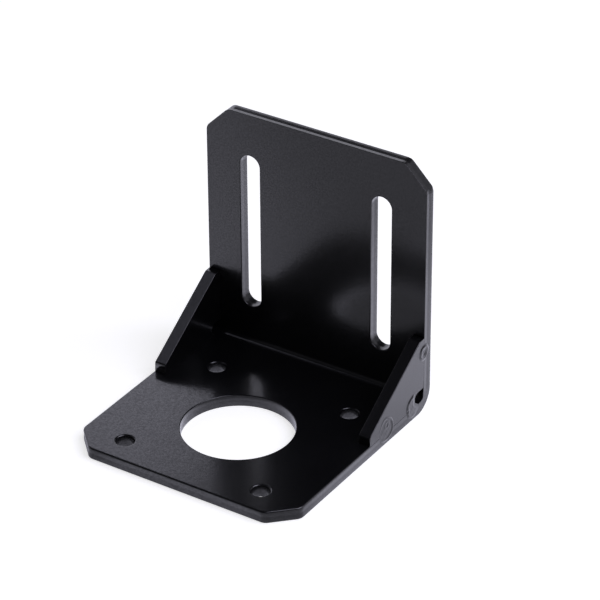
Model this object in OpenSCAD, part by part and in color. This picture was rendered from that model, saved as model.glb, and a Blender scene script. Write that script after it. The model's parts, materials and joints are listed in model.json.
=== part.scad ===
// Mounting bracket for a 42 mm square motor: a folded angle plate stiffened by two welded gussets.
// The foot lies flat with its underside at z = 0 and the upright stands along +Y.
// The origin is the pilot bore's centre on the foot's underside.

/* [Angle plate] */
// Thickness of the folded sheet
plate_t = 2.5; // [2:0.1:3.5]
// Width of the bracket across both gussets
plate_w = 50; // [47:0.5:60]
// Distance from the pilot bore's centre to the foot's front edge
front_reach = 21.2; // [20:0.1:30]
// Distance from the pilot bore's centre to the upright's inner face
back_reach = 27.3; // [25:0.1:40]
// Height of the upright over the foot's underside
upright_h = 53.5; // [50:0.5:80]
// Outer radius of the fold
fold_outer_r = 4.5; // [3.5:0.1:5]
// Inner radius of the fold, small enough to thin the sheet a little
fold_inner_r = 1; // [0.6:0.1:2]

/* [Corners] */
// Chamfer on the foot's two front corners
foot_chamfer = 5; // [3:0.1:6]
// Chamfer on the upright's two top corners
upright_chamfer = 5; // [3:0.1:8]
// Radius that softens each end of a chamfer
chamfer_end_r = 2; // [0.5:0.1:3]

/* [Motor face] */
// Diameter of the pilot bore that clears the motor's boss
pilot_d = 22.3; // [20:0.1:26]
// Distance between neighbouring motor screw holes
screw_pitch = 31; // [29:0.1:33]
// Diameter of a motor screw hole
screw_hole_d = 3.6; // [3:0.1:5]

/* [Wall slots] */
// Distance between the centre lines of the two slots
slot_pitch = 30; // [24:0.5:32]
// Width of a slot
slot_w = 4.5; // [3:0.1:6]
// Length of a slot over its two round ends
slot_length = 34; // [12:0.5:35]
// Distance from the upright's top edge to a slot's upper end
slot_top_gap = 8.9; // [7:0.1:9.5]

/* [Gussets] */
// Thickness of a gusset
gusset_t = 2.5; // [1.5:0.1:3.5]
// Length of a gusset along the foot
gusset_len = 19.5; // [16:0.5:24]
// Height of a gusset over the foot
gusset_h = 14; // [11:0.5:20]
// Height of a gusset's blunt nose
nose_h = 2; // [1:0.1:4]
// Depth of a gusset's flat top
gusset_top = 1.5; // [1:0.1:3]
// Radius on a gusset's two blunted corners
gusset_corner_r = 0.6; // [0.3:0.1:1]
// Radius of the relief that clears the fold
relief_r = 3.2; // [2.5:0.1:4]

/* [Tack welds] */
// Radius of the two welds along the foot
foot_weld_r = 3; // [2:0.1:3.4]
// Radius of the weld on the upright
upright_weld_r = 2.3; // [1.5:0.1:2.6]
// How far a weld stands proud of the side faces
weld_h = 0.25; // [0.1:0.05:0.6]
// Radius of the crater in a weld's middle
crater_r = 0.7; // [0.3:0.1:1]
// Distance from a gusset's nose to the first weld's centre
nose_weld_in = 5.6; // [4:0.1:7]
// Height of the first weld's centre over the foot
nose_weld_up = 1.5; // [0.6:0.1:2]
// Distance from the upright's inner face to the second weld's centre
corner_weld_in = 3.7; // [3:0.1:5]
// Height of the second weld's centre over the foot
corner_weld_up = 0.7; // [0.6:0.1:2]
// Distance from a gusset's top to the third weld's centre
top_weld_down = 2.8; // [2:0.1:4]
// Distance from the upright's inner face to the third weld's centre
top_weld_in = 0.4; // [0:0.1:0.8]

/* [Hidden] */

plate_colour = [0.13, 0.13, 0.14];
gusset_colour = [0.17, 0.17, 0.18];
weld_colour = [0.24, 0.24, 0.26];

half_w = plate_w / 2;
plate_back = back_reach + plate_t;
plate_depth = front_reach + plate_back;
fold_y = plate_back - fold_outer_r;
slot_mid_z = upright_h - slot_top_gap - slot_length / 2;
slot_travel = slot_length - slot_w;
gusset_front = back_reach - gusset_len;
gusset_top_z = plate_t + gusset_h;

// Length by which a cutting body runs past what it cuts
over = 1;
curve_fn = 96;
fine_fn = 48;

// [first tangent point, second tangent point, centre] of the arc that rounds the corner at a point
function corner_arc(before, at, after, r) =
    let (u = (before - at) / norm(before - at))
    let (v = (after - at) / norm(after - at))
    let (half_angle = acos(u * v) / 2)
    [at + u * r / tan(half_angle), at + v * r / tan(half_angle),
        at + (u + v) / norm(u + v) * r / sin(half_angle)];

// A convex outline with each corner rounded by its own radius, or left sharp by a radius of 0
module rounded_outline(points, radii) {
    n = len(points);
    arcs = [for (i = [0:n - 1]) corner_arc(points[(i + n - 1) % n], points[i], points[(i + 1) % n], radii[i])];
    polygon([for (i = [0:n - 1]) each (radii[i] > 0 ? [arcs[i][0], arcs[i][1]] : [points[i]])]);
    for (i = [0:n - 1])
        if (radii[i] > 0)
            translate(arcs[i][2]) circle(r = radii[i], $fn = fine_fn);
}

// A leg seen square on: straight at y = 0, with both corners chamfered at its free end
module leg_outline(reach, chamfer) {
    rounded_outline(
        [[-half_w, 0], [half_w, 0],
            [half_w, reach - chamfer], [half_w - chamfer, reach],
            [chamfer - half_w, reach], [-half_w, reach - chamfer]],
        [0, 0, chamfer_end_r, chamfer_end_r, chamfer_end_r, chamfer_end_r]);
}

// A slab of a flat shape of y and z, between two places across the width
module across(from_x, to_x) {
    translate([from_x, 0, 0]) rotate([90, 0, 90]) linear_extrude(to_x - from_x) children();
}

// The folded sheet seen from the side
module fold_section() {
    difference() {
        union() {
            translate([-front_reach, 0]) square([front_reach + fold_y, plate_t]);
            translate([back_reach, fold_outer_r]) square([plate_t, upright_h - fold_outer_r]);
            intersection() {
                translate([fold_y, 0]) square(fold_outer_r);
                translate([fold_y, fold_outer_r]) circle(r = fold_outer_r, $fn = curve_fn);
            }
        }
        translate([fold_y - over, plate_t + fold_inner_r])
            square([back_reach - fold_y + over, fold_outer_r]);
        translate([fold_y - over, plate_t])
            square([back_reach - fold_inner_r - fold_y + over, fold_outer_r]);
        translate([back_reach - fold_inner_r, plate_t + fold_inner_r])
            circle(r = fold_inner_r, $fn = fine_fn);
    }
}

// The folded sheet before its holes, held inside both legs' outlines
module folded_blank() {
    intersection() {
        across(-half_w, half_w) fold_section();
        translate([0, plate_back, upright_h + over]) rotate([180, 0, 0])
            linear_extrude(upright_h + 2 * over) leg_outline(plate_depth, foot_chamfer);
        translate([0, plate_back + over, 0]) rotate([90, 0, 0])
            linear_extrude(plate_depth + 2 * over) leg_outline(upright_h, upright_chamfer);
    }
}

// A slot's outline, upright, about its own centre
module slot_outline() {
    square([slot_w, slot_travel], center = true);
    for (end = [-1, 1])
        translate([0, end * slot_travel / 2]) circle(d = slot_w, $fn = curve_fn);
}

module angle_plate() {
    color(plate_colour)
        difference() {
            folded_blank();
            translate([0, 0, -over]) cylinder(d = pilot_d, h = plate_t + 2 * over, $fn = curve_fn);
            for (x = [-1, 1], y = [-1, 1])
                translate([x * screw_pitch / 2, y * screw_pitch / 2, -over])
                    cylinder(d = screw_hole_d, h = plate_t + 2 * over, $fn = curve_fn);
            for (x = [-1, 1])
                translate([x * slot_pitch / 2, plate_back + over, slot_mid_z]) rotate([90, 0, 0])
                    linear_extrude(plate_t + 2 * over) slot_outline();
        }
}

// A gusset seen from the side, standing on the foot against the upright
module gusset_outline() {
    difference() {
        rounded_outline(
            [[gusset_front, plate_t], [back_reach, plate_t], [back_reach, gusset_top_z],
                [back_reach - gusset_top, gusset_top_z], [gusset_front, plate_t + nose_h]],
            [0, 0, 0, gusset_corner_r, gusset_corner_r]);
        translate([back_reach, plate_t]) circle(r = relief_r, $fn = curve_fn);
    }
}

module right_gusset() {
    color(gusset_colour) across(half_w - gusset_t, half_w) gusset_outline();
}

module left_gusset() {
    mirror([1, 0, 0]) right_gusset();
}

// A low round bead on the right side face, with a crater in its middle
module tack_weld(y, z, r) {
    translate([half_w, y, z]) rotate([0, 90, 0])
        rotate_extrude($fn = curve_fn)
            polygon([[0, 0], [r, 0], [r - weld_h, weld_h], [crater_r, weld_h], [0, weld_h / 2]]);
}

// The three welds of one side, kept to the metal that they join
module right_tack_welds() {
    color(weld_colour)
        intersection() {
            union() {
                tack_weld(gusset_front + nose_weld_in, plate_t + nose_weld_up, foot_weld_r);
                tack_weld(back_reach - corner_weld_in, plate_t + corner_weld_up, foot_weld_r);
                tack_weld(back_reach - top_weld_in, gusset_top_z - top_weld_down, upright_weld_r);
            }
            across(half_w - over, half_w + weld_h + over) {
                fold_section();
                gusset_outline();
            }
        }
}

module left_tack_welds() {
    mirror([1, 0, 0]) right_tack_welds();
}

angle_plate();
left_gusset();
right_gusset();
left_tack_welds();
right_tack_welds();
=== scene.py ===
"""A black coated motor mounting bracket: a folded plate with two gussets, on a pale floor."""

import json
import math
import random
from collections import namedtuple

import bmesh
import bpy
from mathutils import Matrix, Vector
from mathutils.geometry import delaunay_2d_cdt


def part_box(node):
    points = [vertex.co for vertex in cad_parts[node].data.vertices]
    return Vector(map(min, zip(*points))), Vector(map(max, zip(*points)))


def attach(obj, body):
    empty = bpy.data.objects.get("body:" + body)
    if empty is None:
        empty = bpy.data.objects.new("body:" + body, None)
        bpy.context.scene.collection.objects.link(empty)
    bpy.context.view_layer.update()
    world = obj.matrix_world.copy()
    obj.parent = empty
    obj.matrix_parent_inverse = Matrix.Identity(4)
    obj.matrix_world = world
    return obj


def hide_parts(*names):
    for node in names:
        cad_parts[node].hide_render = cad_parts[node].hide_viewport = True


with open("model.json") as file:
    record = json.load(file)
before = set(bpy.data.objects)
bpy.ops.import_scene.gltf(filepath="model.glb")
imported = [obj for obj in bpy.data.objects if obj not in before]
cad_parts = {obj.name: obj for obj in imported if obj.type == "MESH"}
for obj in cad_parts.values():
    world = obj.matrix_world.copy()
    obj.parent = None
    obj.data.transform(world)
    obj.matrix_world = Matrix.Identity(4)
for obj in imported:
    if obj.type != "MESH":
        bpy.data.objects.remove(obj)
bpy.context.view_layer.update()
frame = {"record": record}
MM = 0.001
QUARTER_TURN = math.pi / 2
FULL_TURN = 2 * math.pi

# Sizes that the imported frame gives
MOUNTS = {mount["name"]: mount for mount in frame["record"]["mounts"]}


def mount_size(mount, size):
    """One of a mount's sizes, in metres."""
    return MOUNTS[mount]["dims"][size] * MM


PLATE_LOW, PLATE_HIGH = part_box("angle_plate")
GUSSET_LOW, GUSSET_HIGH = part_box("right_gusset")
HALF_WIDTH = PLATE_HIGH.x
FRONT = PLATE_LOW.y
BACK = PLATE_HIGH.y
TOP = PLATE_HIGH.z
SHEET = mount_size("pilot_bore", "length_mm")
UPRIGHT = BACK - SHEET
PILOT_RADIUS = mount_size("pilot_bore", "r_mm")
SCREW_RADIUS = mount_size("motor_screws", "hole_r_mm")
SCREW_OFFSET = mount_size("motor_screws", "spacing_x_mm") / 2
SLOT_RADIUS = mount_size("right_wall_slot", "hole_r_mm")
SLOT_LENGTH = mount_size("right_wall_slot", "slot_length_mm")
SLOT_X, _, SLOT_MIDDLE = MOUNTS["right_wall_slot"]["pos_m"]
GUSSET_THICKNESS = GUSSET_HIGH.x - GUSSET_LOW.x
WELD_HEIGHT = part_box("right_tack_welds")[1].x - HALF_WIDTH

# The fold, the chamfered corners, and the gussets with the open notch in their inner corner
FOLD_OUTER = 4.5 * MM
FOLD_INNER = 1.0 * MM
CHAMFER = 5.0 * MM
CHAMFER_END = 2.0 * MM
NOSE_HEIGHT = 2.0 * MM
GUSSET_FLAT_TOP = 1.5 * MM
GUSSET_CORNER = 0.6 * MM
NOTCH_DEPTH = 3.2 * MM
NOTCH_TOP = 2.7 * MM
NOTCH_SLANT_RUN = 1.3 * MM
NOTCH_SLANT_RISE = 1.0 * MM
NOTCH_RADII = (0.7 * MM, 1.3 * MM)

# Cut edges as the punch leaves them: rolled on one face and broken on the other
EDGE_ROLL = 0.3 * MM
EDGE_DROP = 0.4 * MM
EDGE_BREAK = 0.22 * MM
UPRIGHT_ROLL = 0.06 * MM
HOLE_ROLL = 0.16 * MM
HOLE_DROP = 0.2 * MM
HOLE_BREAK = 0.03 * MM
GUSSET_ROLL = 0.14 * MM
GUSSET_DROP = 0.16 * MM
GUSSET_BREAK = 0.12 * MM
FLAT_BORDER = 0.05 * MM

# Grooves of the cut edges: share of the way from the roll to the break, and depth in millimetres
FOOT_GROOVE = ((0.2, 0.02), (0.4, 0.085), (0.5, 0.085), (0.7, 0.02), (0.85, 0.005))
UPRIGHT_GROOVE = ((0.1, 0.008), (0.36, 0.107), (0.44, 0.107), (0.66, 0.02), (0.85, 0.0))
HOLE_GROOVE = ((0.25, 0.016), (0.4, 0.045), (0.5, 0.045), (0.65, 0.018), (0.85, 0.005))

# Screw holes: a wide rolled rim, then a wall that narrows by the taper down to the underside
SCREW_ROLL = 0.34 * MM
SCREW_DROP = 0.4 * MM
SCREW_TAPER = 0.16 * MM
SCREW_WALL = (0.33, 0.67, 1.0)

# A cut edge's shape fades to the seam strength along the gussets and over the crevice above a
# gusset's notch, and loses a part at the top's chamfers
SEAM_STRENGTH = 0.07
SEAM_FADE = 0.8 * MM
CREVICE = 1.2 * MM
TOP_CHAMFER_FADE = 0.7
TOP_CHAMFER_RUN = 0.5 * MM

# How finely shapes are divided, and how near counts as touching
RIM_STEPS = 7
CORNER_STEPS = 8
PILOT_STEPS = 128
SCREW_STEPS = 48
SLOT_STEPS = 24
STRAIGHT_STEPS = 4
CURVED_STEPS = 10
GUSSET_STEP = 2 * MM
WELD_AROUND = 120
WELD_OUT = 60
NOTCH_SEARCH = 60
TOUCHING = 0.01 * MM
SAME_POINT = 1e-9


def clamped(value):
    return min(1.0, max(0.0, value))


def smooth_step(low, high, value):
    """Rises smoothly from 0 at low to 1 at high."""
    share = clamped((value - low) / (high - low))
    return share * share * (3 - 2 * share)


def arc(centre, radius, start, end, steps):
    """Points on an arc, in degrees, both ends included."""
    x, y = centre
    angles = [math.radians(start + (end - start) * i / steps) for i in range(steps + 1)]
    return [Vector((x + radius * math.cos(a), y + radius * math.sin(a))) for a in angles]


def round_hole(centre, radius, steps):
    """The closed outline of a round hole, with the material on its left."""
    return arc(centre, radius, 360, 0, steps)[:-1]


def slot_hole(x, middle):
    """The closed outline of an upright slot, with the material on its left."""
    half_travel = SLOT_LENGTH / 2 - SLOT_RADIUS
    lower_end = arc((x, middle - half_travel), SLOT_RADIUS, 0, -180, SLOT_STEPS)
    return lower_end + arc((x, middle + half_travel), SLOT_RADIUS, 180, 0, SLOT_STEPS)


def rounded_corner(before, corner, after, radius):
    """Points of the arc that rounds one corner of an outline."""
    u = (before - corner).normalized()
    v = (after - corner).normalized()
    half = u.angle(v) / 2
    centre = corner + (u + v).normalized() * radius / math.sin(half)
    first = corner + u * radius / math.tan(half) - centre
    last = corner + v * radius / math.tan(half) - centre
    turn = first.angle_signed(last)
    turns = [Matrix.Rotation(-turn * i / CORNER_STEPS, 2) for i in range(CORNER_STEPS + 1)]
    return [centre + part @ first for part in turns]


def rounded_outline(corners, radii):
    """A closed outline with its corners rounded, each by its own radius, or left sharp by 0."""
    points = []
    for i, (corner, radius) in enumerate(zip(corners, radii)):
        if radius:
            after = corners[(i + 1) % len(corners)]
            points += rounded_corner(corners[i - 1], corner, after, radius)
        else:
            points.append(corner)
    return points


def split_edges(points, longest):
    """Adds points along an outline's long edges."""
    dense = []
    for start, end in zip(points, points[1:] + points[:1]):
        parts = max(1, math.ceil((end - start).length / longest))
        dense += [start.lerp(end, i / parts) for i in range(parts)]
    return dense


def inset(points, depths):
    """Moves a closed outline into the material on its left, each point by its own depth."""
    moved = []
    for i, (point, depth) in enumerate(zip(points, depths)):
        into = (point - points[i - 1]).normalized()
        away = (points[(i + 1) % len(points)] - point).normalized()
        first = Vector((-into.y, into.x))
        second = Vector((-away.y, away.x))
        moved.append(point + (first + second) * depth / (1 + first.dot(second)))
    return moved


def inside(point, outline):
    """True where a point lies inside a closed outline."""
    x, y = point
    crossings = 0
    for a, b in zip(outline, outline[1:] + outline[:1]):
        if (a.y > y) != (b.y > y):
            crossings += x < a.x + (y - a.y) * (b.x - a.x) / (b.y - a.y)
    return crossings % 2 == 1


# The section of a cut edge is a list of (depth, height), from the rolled face to the other one
def quarter_angles():
    """The angles of a rounded rim's points."""
    return [QUARTER_TURN * i / RIM_STEPS for i in range(RIM_STEPS + 1)]


def rolled_rim(thickness, width, drop):
    """The rounded upper part of a section."""
    return [
        (width * (1 - math.sin(a)), thickness - drop * (1 - math.cos(a)))
        for a in quarter_angles()
    ]


def cut_edge(thickness, roll_width, roll_drop, break_radius, groove=()):
    """The section of a punched edge."""
    land = thickness - roll_drop
    wall = [(depth * MM, land + (break_radius - land) * share) for share, depth in groove]
    broken = [
        (break_radius * (1 - math.cos(a)), break_radius - break_radius * math.sin(a))
        for a in quarter_angles()
    ]
    return rolled_rim(thickness, roll_width, roll_drop) + wall + broken


def screw_edge():
    """The section of a screw hole."""
    land = SHEET - SCREW_DROP
    wall = [(-SCREW_TAPER * share, land * (1 - share)) for share in SCREW_WALL]
    return rolled_rim(SHEET, SCREW_ROLL, SCREW_DROP) + wall


def scaled(section, factor):
    """A section with its depths multiplied."""
    return [(depth * factor, height) for depth, height in section]


def blended(first, second, share):
    """A section between two others."""
    return [(a + (c - a) * share, b + (d - b) * share) for (a, b), (c, d) in zip(first, second)]


def with_borders(section):
    """Adds a narrow flat border to both faces, so that their shading stays flat."""
    (first, high), (last, low) = section[0], section[-1]
    return [(first + FLAT_BORDER, high), *section, (last + FLAT_BORDER, low)]


def fill_triangles(loops, lines):
    """Triangles between an outer loop and its holes, as indices into all the loops' points."""
    points = [point for loop in loops for point in loop]
    edges = []
    start = 0
    for loop in loops:
        edges += [(start + i, start + (i + 1) % len(loop)) for i in range(len(loop))]
        start += len(loop)
    places, _, faces, sources, *_ = delaunay_2d_cdt(points, [*edges, *lines], [], 0, SAME_POINT)
    triangles = []
    for face in faces:
        # Plain numbers, because a Vector's precision is too low for slivers on a straight edge
        middle = [sum(places[i][axis] for i in face) / len(face) for axis in (0, 1)]
        if inside(middle, loops[0]) and not any(inside(middle, hole) for hole in loops[1:]):
            triangles.append([sources[i][0] for i in face])
    return triangles


def join_rings(mesh, rings):
    """Adds the faces between each ring of vertices and the next."""
    for upper, lower in zip(rings, rings[1:]):
        for i in range(len(upper)):
            k = (i + 1) % len(upper)
            mesh.faces.new((upper[i], lower[i], lower[k], upper[k]))


def add_object(name, data):
    piece = bpy.data.objects.new(name, data)
    bpy.context.collection.objects.link(piece)
    return piece


def finish_mesh(name, mesh):
    """Turns a bmesh into a smooth-shaded object whose flat faces stay flat."""
    data = bpy.data.meshes.new(name)
    mesh.to_mesh(data)
    mesh.free()
    for face in data.polygons:
        face.use_smooth = True
    piece = add_object(name, data)
    weighted = piece.modifiers.new("flat faces", "WEIGHTED_NORMAL")
    weighted.mode = "FACE_AREA"
    weighted.weight = 100
    return piece


def plate(name, outer, holes, section_at, place, lines=()):
    """A sheet-metal piece: a flat outline with holes, given cut edges and set down by place()."""
    mesh = bmesh.new()
    flats = []
    rings = []
    for number, loop in enumerate([outer] + holes):
        levels = list(zip(*[with_borders(section_at(number, point)) for point in loop]))
        flats.append([inset(loop, [depth for depth, _ in level]) for level in levels])
        rings.append([
            [mesh.verts.new(place(*point, height)) for point, (_, height) in zip(flat, level)]
            for flat, level in zip(flats[-1], levels)
        ])
    for stack in rings:
        join_rings(mesh, stack)
    # The upper face lies on the first level. The lower one, on the last, is wound the other way.
    for level, direction in ((0, 1), (-1, -1)):
        vertices = [vertex for stack in rings for vertex in stack[level]]
        for triangle in fill_triangles([stack[level] for stack in flats], lines):
            mesh.faces.new([vertices[i] for i in triangle[::direction]])
    bmesh.ops.recalc_face_normals(mesh, faces=mesh.faces)
    return finish_mesh(name, mesh)


# The angle plate is drawn flat: Y along the foot, then round the fold, then up the upright. The
# fold is as long there as its inner face.
FOLD_START = BACK - FOLD_OUTER
INNER_RUN = UPRIGHT - FOLD_INNER - FOLD_START
FOLD_LENGTH = 2 * INNER_RUN + QUARTER_TURN * FOLD_INNER
UPRIGHT_SHIFT = FOLD_START + FOLD_LENGTH - FOLD_OUTER


def fold_outer(share):
    """A point of the fold's outer face, at a share of the way round."""
    angle = QUARTER_TURN * share
    return Vector((
        FOLD_START + FOLD_OUTER * math.sin(angle), FOLD_OUTER * (1 - math.cos(angle)),
    ))


def fold_inner(share):
    """A point of the fold's inner face: straight, round the inner radius and straight again."""
    run = share * FOLD_LENGTH
    if run < INNER_RUN:
        return Vector((FOLD_START + run, SHEET))
    if run > FOLD_LENGTH - INNER_RUN:
        return Vector((UPRIGHT, FOLD_OUTER - (FOLD_LENGTH - run)))
    angle = (run - INNER_RUN) / FOLD_INNER
    return Vector((
        UPRIGHT - FOLD_INNER * (1 - math.sin(angle)), SHEET + FOLD_INNER * (1 - math.cos(angle)),
    ))


def place_folded(x, along, height):
    """Where a point of the flat sheet lies after folding; height 0 is the outer face."""
    if along <= FOLD_START:
        return Vector((x, along, height))
    if along >= FOLD_START + FOLD_LENGTH:
        return Vector((x, BACK - height, along - UPRIGHT_SHIFT))
    share = (along - FOLD_START) / FOLD_LENGTH
    y, z = fold_outer(share).lerp(fold_inner(share), height / SHEET)
    return Vector((x, y, z))


def fold_lines():
    """Shares of the fold at which the sheet is divided, closer together round the inner radius."""
    first = INNER_RUN / FOLD_LENGTH
    straight = [first * i / STRAIGHT_STEPS for i in range(STRAIGHT_STEPS)]
    curved = [first + (1 - 2 * first) * i / CURVED_STEPS for i in range(CURVED_STEPS + 1)]
    return straight + curved + [1 - share for share in reversed(straight)]


def angle_plate():
    """The folded sheet with its bore, screw holes and slots."""
    length = TOP + UPRIGHT_SHIFT
    divisions = [FOLD_START + FOLD_LENGTH * share for share in fold_lines()]
    right = [Vector((HALF_WIDTH, along)) for along in divisions]
    left = [Vector((-HALF_WIDTH, along)) for along in reversed(divisions)]
    corners = [
        Vector((CHAMFER - HALF_WIDTH, FRONT)), Vector((HALF_WIDTH - CHAMFER, FRONT)),
        Vector((HALF_WIDTH, FRONT + CHAMFER)), *right, Vector((HALF_WIDTH, length - CHAMFER)),
        Vector((HALF_WIDTH - CHAMFER, length)), Vector((CHAMFER - HALF_WIDTH, length)),
        Vector((-HALF_WIDTH, length - CHAMFER)), *left, Vector((-HALF_WIDTH, FRONT + CHAMFER)),
    ]
    rounded = [CHAMFER_END]
    sharp = [0] * len(divisions)
    outer = rounded_outline(corners, rounded * 3 + sharp + rounded * 4 + sharp + rounded)
    places = [(point.x, point.y) for point in outer]
    lines = [
        (places.index((p.x, p.y)), places.index((q.x, q.y)))
        for p, q in zip(right, reversed(left))
    ]

    offsets = (-SCREW_OFFSET, SCREW_OFFSET)
    holes = [round_hole((0, 0), PILOT_RADIUS, PILOT_STEPS)]
    holes += [round_hole((x, y), SCREW_RADIUS, SCREW_STEPS) for x in offsets for y in offsets]
    holes += [slot_hole(x, SLOT_MIDDLE + UPRIGHT_SHIFT) for x in (-SLOT_X, SLOT_X)]
    plain = cut_edge(SHEET, HOLE_ROLL, HOLE_DROP, HOLE_BREAK, HOLE_GROOVE)
    hole_edges = [plain] + [screw_edge()] * 4 + [plain] * 2

    foot_edge = cut_edge(SHEET, EDGE_ROLL, EDGE_DROP, EDGE_BREAK, FOOT_GROOVE)
    upright_edge = cut_edge(SHEET, UPRIGHT_ROLL, UPRIGHT_ROLL, EDGE_BREAK, UPRIGHT_GROOVE)
    seam_start = GUSSET_LOW.y
    seam_end = GUSSET_HIGH.z + UPRIGHT_SHIFT
    chamfer_start = HALF_WIDTH - CHAMFER

    def section_at(number, point):
        """A hole's edge, or the outer edge, which changes up the sheet and fades at a gusset."""
        if number:
            return hole_edges[number - 1]
        section = blended(foot_edge, upright_edge, smooth_step(seam_start, seam_end, point.y))
        aside = abs(point.x)
        if point.y > length - CHAMFER:
            fade = smooth_step(chamfer_start - TOP_CHAMFER_RUN, chamfer_start, aside)
            return scaled(section, 1 - TOP_CHAMFER_FADE * fade)
        if aside < HALF_WIDTH - CHAMFER / 2 or point.y < FRONT + CHAMFER:
            return section
        into = min(point.y - seam_start, seam_end - point.y)
        return scaled(section, 1.0 - (1.0 - SEAM_STRENGTH) * clamped(into / SEAM_FADE))

    return plate("folded_plate", outer, holes, section_at, place_folded, lines)


# The open notch in a gusset's inner corner, its lower end filled by weld metal
NOTCH = [
    Vector((UPRIGHT - NOTCH_DEPTH + NOTCH_SLANT_RUN, SHEET)),
    Vector((UPRIGHT - NOTCH_DEPTH, SHEET + NOTCH_SLANT_RISE)),
    Vector((UPRIGHT - NOTCH_DEPTH, SHEET + NOTCH_TOP)),
    Vector((UPRIGHT, SHEET + NOTCH_TOP)),
]
NOTCH_OUTLINE = NOTCH + [Vector((UPRIGHT, SHEET))]


def gusset(name, side):
    """A gusset on the right (side 1) or the left (side -1)."""
    corners = [
        Vector((GUSSET_LOW.y, SHEET)), *NOTCH, Vector((UPRIGHT, GUSSET_HIGH.z)),
        Vector((UPRIGHT - GUSSET_FLAT_TOP, GUSSET_HIGH.z)),
        Vector((GUSSET_LOW.y, SHEET + NOSE_HEIGHT)),
    ]
    radii = [0, 0, *NOTCH_RADII, 0, 0, GUSSET_CORNER, GUSSET_CORNER]
    outline = split_edges(rounded_outline(corners, radii), GUSSET_STEP)
    edge = cut_edge(GUSSET_THICKNESS, GUSSET_ROLL, GUSSET_DROP, GUSSET_BREAK)

    def place(y, z, height):
        return Vector((side * (HALF_WIDTH - GUSSET_THICKNESS + height), y, z))

    def section_at(_, point):
        """The two edges that stand on the sheet keep almost no rounding."""
        if point.x > UPRIGHT - TOUCHING:
            above = (point.y - SHEET - NOTCH_TOP) / CREVICE
            return scaled(edge, SEAM_STRENGTH + (1 - SEAM_STRENGTH) * max(0.0, 1 - above))
        return scaled(edge, SEAM_STRENGTH) if point.y < SHEET + TOUCHING else edge

    return plate(name, outline, [], section_at, place)


# A tack weld on a side face. Its heights are parts of the greatest height and its rim's width a
# part of the radius. The rim faces an angle in degrees and goes round as far as its spread says.
# The crater's place is counted from the centre.
Weld = namedtuple(
    "Weld", "centre radius body rim_height rim_width rim_angle rim_spread crater crater_radius")
NOSE_WELD = Weld(
    centre=Vector((GUSSET_LOW.y + 5.7 * MM, SHEET + 0.8 * MM)), radius=3.0 * MM, body=0.3,
    rim_height=0.6, rim_width=0.09, rim_angle=0, rim_spread=0.08,
    crater=Vector((0.2, 0.9)) * MM, crater_radius=0.6 * MM)
CORNER_WELD = Weld(
    centre=Vector((UPRIGHT - 3.7 * MM, SHEET + 0.7 * MM)), radius=3.0 * MM, body=0.75,
    rim_height=0.25, rim_width=0.1, rim_angle=150, rim_spread=0.15,
    crater=Vector((-2.3, -0.2)) * MM, crater_radius=0.45 * MM)
TOP_WELD = Weld(
    centre=Vector((UPRIGHT - 0.1 * MM, GUSSET_HIGH.z - 3.1 * MM)), radius=2.0 * MM, body=0.25,
    rim_height=0.65, rim_width=0.17, rim_angle=200, rim_spread=0.75,
    crater=Vector((0, 0)) * MM, crater_radius=0.85 * MM)
NOTCH_MIDDLE = Vector((UPRIGHT - 1.9 * MM, SHEET + 1.2 * MM))

# The outline wanders round its mean radius in waves: waves a turn, and size. Each wave takes the
# phase of its own number.
PHASES = 6
MEAN_RADIUS = 0.93
OUTLINE_WAVES = ((2, 0.03), (3, 0.025), (5, 0.015))
# Lumps: height, radians a millimetre along Y and Z, and the phases that they take. The higher the
# power, the closer to the outline they go on.
LUMPS = ((0.06, 2.6, 3.1, 0, 1), (0.03, 7.3, 6.1, 4, 3))
LUMPS_POWER = 6
# The crater: how deep it is, and the height and width of the lip round it
CRATER_DEPTH = 0.5
LIP_HEIGHT = 0.2
LIP_WIDTH = 0.45
# Where the rim peaks and where the body starts to fall, in rim widths from the outline
RIM_PEAK = 1.8
BODY_END = 2.5
# How far welds sink into the side face, and the distance over which they thin out at the notch
WELD_SINK = 0.01 * MM
WELD_BASE = 0.02 * MM
NOTCH_FADE = 0.9 * MM


def notch_distance(point):
    """How far a point lies from the open notch's outline."""
    distances = []
    for a, b in zip(NOTCH_OUTLINE, NOTCH_OUTLINE[1:]):
        share = clamped((point - a).dot(b - a) / (b - a).length_squared)
        distances.append((point - a.lerp(b, share)).length)
    return min(distances)


def notch_reach(centre, ray, reach):
    """How far a ray runs before it meets the open notch."""
    for i in range(NOTCH_SEARCH + 1):
        if inside(centre + ray * reach * i / NOTCH_SEARCH, NOTCH_OUTLINE):
            return reach * i / NOTCH_SEARCH
    return reach


def weld_spokes(shape, phases, over_notch):
    """Spokes from a weld's centre to its outline, each with its part of the rim."""
    spokes = []
    for i in range(WELD_AROUND):
        angle = FULL_TURN * i / WELD_AROUND
        ray = Vector((math.cos(angle), math.sin(angle)))
        wander = sum(size * math.sin(n * angle + phases[n]) for n, size in OUTLINE_WAVES)
        reach = shape.radius * (MEAN_RADIUS + wander)
        if not over_notch:
            reach = notch_reach(shape.centre, ray, reach)
        towards = 0.5 + 0.5 * math.cos(angle - math.radians(shape.rim_angle))
        spokes.append((ray * reach, shape.rim_spread + (1 - shape.rim_spread) * towards))
    return spokes


def puddle_height(shape, share, facing):
    """A weld's body and rim at a share of its radius; facing is 1 where the rim is full."""
    slope = 1 - smooth_step(0, 1, share) * (1 - facing)
    plateau = (1 - smooth_step(1 - BODY_END * shape.rim_width, 1.0, share)) * slope
    from_peak = (share - 1 + RIM_PEAK * shape.rim_width) / shape.rim_width
    return shape.body * plateau + shape.rim_height * (math.exp(-from_peak ** 2) * facing)


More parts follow.
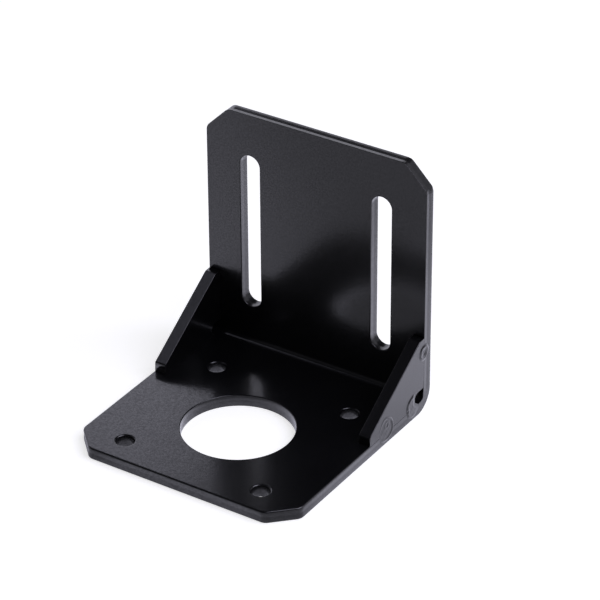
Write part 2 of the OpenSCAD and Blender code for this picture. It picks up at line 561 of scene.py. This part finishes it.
def uneven_height(shape, phases, point):
    """A weld's lumps, and its crater with a lip."""
    lumps = sum(
        size * math.sin(u * point.x / MM + phases[i]) * math.sin(v * point.y / MM + phases[k])
        for size, u, v, i, k in LUMPS)
    away = (point - shape.centre - shape.crater).length / shape.crater_radius
    lip = LIP_HEIGHT * math.exp(-((away - 1) / LIP_WIDTH) ** 2)
    return lumps + (lip - CRATER_DEPTH * (1 - smooth_step(0, 1, away)))


def weld(mesh, side, seed, over_notch, shape):
    """A low puddle of weld metal on a side face, with a rim, a crater and a wandering outline."""
    chance = random.Random(seed)
    phases = [chance.uniform(0, FULL_TURN) for _ in range(PHASES)]

    def vertex(spoke, facing, share):
        point = shape.centre + spoke * share
        height = puddle_height(shape, share, facing)
        height += uneven_height(shape, phases, point) * (1 - share ** LUMPS_POWER)
        if not over_notch:
            height *= smooth_step(0, NOTCH_FADE, notch_distance(point))
        out = HALF_WIDTH + WELD_HEIGHT * min(1.0, height) - WELD_SINK
        return mesh.verts.new((side * out, point.x, point.y))

    spokes = weld_spokes(shape, phases, over_notch)
    hub = vertex(*spokes[0], 0)
    shares = [step / WELD_OUT for step in range(1, WELD_OUT + 1)]
    rings = [[vertex(*spoke, share) for spoke in spokes] for share in shares]
    join_rings(mesh, rings)
    base = mesh.verts.new((side * (HALF_WIDTH - WELD_BASE), *shape.centre))
    for i in range(WELD_AROUND):
        k = (i + 1) % WELD_AROUND
        mesh.faces.new((hub, rings[0][i], rings[0][k]))
        mesh.faces.new((base, rings[-1][k], rings[-1][i]))


def tack_welds(name, side, seed, over_notch):
    """The three welds of one side; over_notch says whether the corner weld covers the notch."""
    corner = CORNER_WELD._replace(centre=NOTCH_MIDDLE) if over_notch else CORNER_WELD
    mesh = bmesh.new()
    for i, shape in enumerate((NOSE_WELD, corner, TOP_WELD)):
        weld(mesh, side, seed + i, over_notch, shape)
    if side < 0:
        bmesh.ops.reverse_faces(mesh, faces=mesh.faces)
    return finish_mesh(name, mesh)


# Node trees. A source is a node with the name of one of its outputs.
def link(tree, source, target, socket):
    node, output = source
    tree.links.new(node.outputs[output], target.inputs[socket])


def add_node(tree, kind, **inputs):
    """A new node with its inputs set, their names written with underscores for spaces."""
    node = tree.nodes.new(kind)
    for name, value in inputs.items():
        node.inputs[name.replace("_", " ")].default_value = value
    return node


def coordinate(tree, output):
    return tree.nodes.new("ShaderNodeTexCoord"), output


def axes(tree, place):
    """The X, Y and Z of a coordinate."""
    split = tree.nodes.new("ShaderNodeSeparateXYZ")
    link(tree, place, split, "Vector")
    return [(split, axis) for axis in "XYZ"]


def noise(tree, place, scale, detail, roughness):
    node = add_node(tree, "ShaderNodeTexNoise", Scale=scale, Detail=detail, Roughness=roughness)
    link(tree, place, node, "Vector")
    return node, "Fac"


def ramp(tree, source, low, high, low_value, high_value):
    """Maps the range from low to high to another range."""
    limits = {"From_Min": low, "From_Max": high, "To_Min": low_value, "To_Max": high_value}
    node = add_node(tree, "ShaderNodeMapRange", **limits)
    link(tree, source, node, "Value")
    return node, "Result"


def maths(tree, operation, first, second):
    """A Math node of two inputs, each a number or a source."""
    node = tree.nodes.new("ShaderNodeMath")
    node.operation = operation
    for i, value in enumerate((first, second)):
        if isinstance(value, tuple):
            link(tree, value, node, i)
        else:
            node.inputs[i].default_value = value
    return node, "Value"


def lesser(tree, source, first, second):
    """The lesser of two ramps over the same source."""
    return maths(tree, "MINIMUM", ramp(tree, source, *first), ramp(tree, source, *second))


def mixed_colour(tree, source, first, second):
    """Goes from one colour to another as the source goes from 0 to 1."""
    node = tree.nodes.new("ShaderNodeMix")
    node.data_type = "RGBA"
    node.inputs["A"].default_value = first
    node.inputs["B"].default_value = second
    link(tree, source, node, "Factor")
    return node, "Result"


def bump(tree, height, strength, distance, under=None):
    """A bump, on top of another where one is given."""
    node = add_node(tree, "ShaderNodeBump", Strength=strength, Distance=distance)
    link(tree, height, node, "Height")
    if under:
        link(tree, under, node, "Normal")
    return node, "Normal"


# The coat: a clear glossy layer over black with a little haze
COAT_IOR = 1.6
COAT_ROUGHNESS = 0.14
HAZE_IOR = 1.5
HAZE_LEVEL = 0.2
BLACKS = ((0.0026, 0.0026, 0.003, 1), (0.0036, 0.0036, 0.0042, 1))
# Its noises: scale, detail and roughness
CLOUDS = (90, 3, 0.5)
PEEL = (1400, 2, 0.5)
MOTTLE = (3000, 2, 0.5)
GRAIN = (5200, 3, 0.6)
# Its bumps: strength, and height in metres
PEEL_BUMP = (0.35, 0.00002)
GRAIN_BUMP = (0.25, 0.000018)
# Ramps from the clouds to the haze's roughness, and from the mottle to the clear layer's weight
HAZE_RANGE = (0.3, 0.7, 0.29, 0.35)
COAT_RANGE = (0.36, 0.64, 0.56, 1.0)


def black_coat(name):
    """Glossy black powder coat: orange peel, fine grain, a little haze, uneven gloss and depth."""
    material = bpy.data.materials.new(name)
    material.use_nodes = True
    tree = material.node_tree
    shader = tree.nodes["Principled BSDF"]
    shader.inputs["IOR"].default_value = HAZE_IOR
    shader.inputs["Specular IOR Level"].default_value = HAZE_LEVEL
    shader.inputs["Coat IOR"].default_value = COAT_IOR
    shader.inputs["Coat Roughness"].default_value = COAT_ROUGHNESS
    place = coordinate(tree, "Object")
    cloud = noise(tree, place, *CLOUDS)
    link(tree, mixed_colour(tree, cloud, *BLACKS), shader, "Base Color")
    link(tree, ramp(tree, cloud, *HAZE_RANGE), shader, "Roughness")
    link(tree, ramp(tree, noise(tree, place, *MOTTLE), *COAT_RANGE), shader, "Coat Weight")
    fine = bump(tree, noise(tree, place, *GRAIN), *GRAIN_BUMP)
    surface = bump(tree, noise(tree, place, *PEEL), *PEEL_BUMP, under=fine)
    link(tree, surface, shader, "Normal")
    link(tree, surface, shader, "Coat Normal")
    return material


# The floor: half its side, its own colour, what the camera sees on top of that, and the tint of
# the painted glow that reflections see
FLOOR_SIZE = 3
FLOOR_DROP = 0.05 * MM
FLOOR_COLOUR = (0.69, 0.69, 0.65, 1)
CAMERA_GLOW = 0.7
WHITE = (1, 1, 1, 1)
PAINTED_GLOW_TINT = (0.945, 0.94, 1.12, 1)
# Painted light: glows of the floor that only reflections see, painted pools of light and shade as
# ramps over metres: across from the left, away to the back right and down again far off, and from
# the middle out for a ring under the foot
PAINTED_LEFT_GLOW = (-0.04, 0.015, 0.52, 0.0)
PAINTED_BACK_RIGHT_GLOW = (0.0, 0.075, 0.15, 0.72)
PAINTED_FAR_GLOW = (0.11, 0.175, 0.72, 0.1)
PAINTED_RING_GLOW = 0.38
PAINTED_RING_INSIDE = (0.0085, 0.0095, -0.15, PAINTED_RING_GLOW)
PAINTED_RING_OUTSIDE = (0.027, 0.031, PAINTED_RING_GLOW, 0)


def floor_material():
    """Pale floor that the camera sees white, keeping the shadow, with painted glows for
    reflections.
    """
    material = bpy.data.materials.new("pale_floor")
    material.use_nodes = True
    tree = material.node_tree
    tree.nodes.remove(tree.nodes["Principled BSDF"])
    diffuse = add_node(tree, "ShaderNodeBsdfDiffuse", Color=FLOOR_COLOUR)
    place = coordinate(tree, "Object")
    x, y, _ = axes(tree, place)
    left = ramp(tree, maths(tree, "SUBTRACT", x, y), *PAINTED_LEFT_GLOW)
    back = lesser(tree, maths(tree, "ADD", x, y), PAINTED_BACK_RIGHT_GLOW, PAINTED_FAR_GLOW)
    length = tree.nodes.new("ShaderNodeVectorMath")
    length.operation = "LENGTH"
    link(tree, place, length, "Vector")
    ring = lesser(tree, (length, "Value"), PAINTED_RING_INSIDE, PAINTED_RING_OUTSIDE)
    # Painted light: pools of light painted into the floor's glow, which only reflections see
    glows = maths(tree, "ADD", maths(tree, "MAXIMUM", left, back), ring)
    rays = tree.nodes.new("ShaderNodeLightPath")
    seen = (rays, "Is Camera Ray")
    reflected = maths(tree, "MAXIMUM", (rays, "Is Glossy Ray"), (rays, "Is Transmission Ray"))
    glows = maths(tree, "MULTIPLY", reflected, glows)
    strength = maths(tree, "MAXIMUM", maths(tree, "MULTIPLY", seen, CAMERA_GLOW), glows)
    light = tree.nodes.new("ShaderNodeEmission")
    link(tree, mixed_colour(tree, seen, PAINTED_GLOW_TINT, WHITE), light, "Color")
    link(tree, strength, light, "Strength")
    total = tree.nodes.new("ShaderNodeAddShader")
    link(tree, (diffuse, "BSDF"), total, 0)
    link(tree, (light, "Emission"), total, 1)
    link(tree, (total, "Shader"), tree.nodes["Material Output"], "Surface")
    return material


def add_floor():
    mesh = bmesh.new()
    bmesh.ops.create_grid(mesh, x_segments=1, y_segments=1, size=FLOOR_SIZE)
    bmesh.ops.translate(mesh, verts=mesh.verts, vec=(0, 0, -FLOOR_DROP))
    data = bpy.data.meshes.new("floor")
    mesh.to_mesh(data)
    mesh.free()
    floor = add_object("floor", data)
    floor.data.materials.append(floor_material())


# The room, as ramps over a direction's Z, Y and X: brightest low down and dark higher up, brighter
# towards the back and on the left
ROOM_COLOUR = (0.93, 0.925, 1.04, 1)
ROOM_AMBIENT = 0.02
ROOM_LOW = (0.22, 0.4, 2.6, 1.0)
ROOM_HIGH = (0.54, 0.58, 1.0, 0.0)
ROOM_BACK = (-0.6, 0.8, 0.04, 0.55)
ROOM_SIDEWAYS = (-0.45, 0.5, 1.55, 0.75)


def studio_world():
    """A dim room with a pale backdrop low round the bracket, which the camera sees white."""
    world = bpy.data.worlds.new("studio")
    bpy.context.scene.world = world
    world.use_nodes = True
    tree = world.node_tree
    x, y, z = axes(tree, coordinate(tree, "Generated"))
    around = maths(tree, "MULTIPLY", ramp(tree, y, *ROOM_BACK), ramp(tree, x, *ROOM_SIDEWAYS))
    backdrop = maths(tree, "MULTIPLY", lesser(tree, z, ROOM_LOW, ROOM_HIGH), around)
    lit = maths(tree, "ADD", backdrop, ROOM_AMBIENT)
    rays = tree.nodes.new("ShaderNodeLightPath")
    background = tree.nodes["Background"]
    background.inputs["Color"].default_value = ROOM_COLOUR
    link(tree, maths(tree, "MAXIMUM", (rays, "Is Camera Ray"), lit), background, "Strength")


def from_side(azimuth, elevation, distance):
    """A point round the bracket; azimuth 0 is behind it and 90 on its right."""
    a, e = math.radians(azimuth), math.radians(elevation)
    direction = Vector((math.sin(a) * math.cos(e), math.cos(a) * math.cos(e), math.sin(e)))
    return direction * distance


# Lamps: name, place, target, width and height in metres, power in watts and roll in degrees
LAMP_COLOUR = (0.93, 0.925, 1.13)
MIDDLE = (0, 0, 0.02)
LAMPS = (
    ("top_light", from_side(80, 54, 0.72), MIDDLE, (0.6, 0.6), 3.3, 0),
    ("window", from_side(305, 34, 0.38), MIDDLE, (0.184, 0.22), 0.066, -40),
    ("side_light", (-0.189, -0.049, 0.255), (-0.024, 0.014, 0.012), (0.1, 0.1), 0.015, 0),
)


def add_lamp(name, place, target, size, power, roll):
    data = bpy.data.lights.new(name, "AREA")
    data.shape = "RECTANGLE"
    data.size, data.size_y = size
    data.energy = power
    data.color = LAMP_COLOUR
    piece = add_object(name, data)
    piece.location = place
    turn = (Vector(target) - Vector(place)).to_track_quat("-Z", "Y").to_matrix()
    piece.rotation_euler = (turn @ Matrix.Rotation(math.radians(roll), 3, "Z")).to_euler()


# The camera, fitted to the photograph. It looks at a point at its height over the origin, moved
# by its aim along the picture's right and up.
CAMERA_AZIMUTH = math.radians(33.14)
CAMERA_ELEVATION = math.radians(31.27)
CAMERA_ROLL = math.radians(-0.28)
CAMERA_DISTANCE = 0.5928
CAMERA_AIM = (11.96 * MM, 9.36 * MM)
CAMERA_HEIGHT = 20 * MM
LENS = 188.2
SENSOR = 36


def add_camera():
    a, e, r = CAMERA_AZIMUTH, CAMERA_ELEVATION, CAMERA_ROLL
    back = Vector((math.sin(a) * math.cos(e), -math.cos(a) * math.cos(e), math.sin(e)))
    level = Vector((math.cos(a), math.sin(a), 0))
    upward = back.cross(level)
    right = level * math.cos(r) + upward * math.sin(r)
    up = upward * math.cos(r) - level * math.sin(r)
    aim = Vector((0, 0, CAMERA_HEIGHT)) + right * CAMERA_AIM[0] + up * CAMERA_AIM[1]
    data = bpy.data.cameras.new("camera")
    data.lens = LENS
    data.sensor_width = SENSOR
    camera = add_object("camera", data)
    turn = Matrix((right, up, back)).transposed().to_4x4()
    camera.matrix_world = Matrix.Translation(aim + back * CAMERA_DISTANCE) @ turn
    bpy.context.scene.camera = camera


bpy.context.scene.view_settings.view_transform = "Standard"
add_camera()
add_floor()
studio_world()
for lamp in LAMPS:
    add_lamp(*lamp)

PIECES = {
    "angle_plate": angle_plate(),
    "left_gusset": gusset("left_gusset_plate", side=-1),
    "right_gusset": gusset("right_gusset_plate", side=1),
    "left_tack_welds": tack_welds("left_weld_beads", side=-1, seed=11, over_notch=True),
    "right_tack_welds": tack_welds("right_weld_beads", side=1, seed=21, over_notch=False),
}
COAT = black_coat("black_coat")
for node, piece in PIECES.items():
    piece.data.materials.append(COAT)
    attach(piece, "root")
    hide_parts(node)
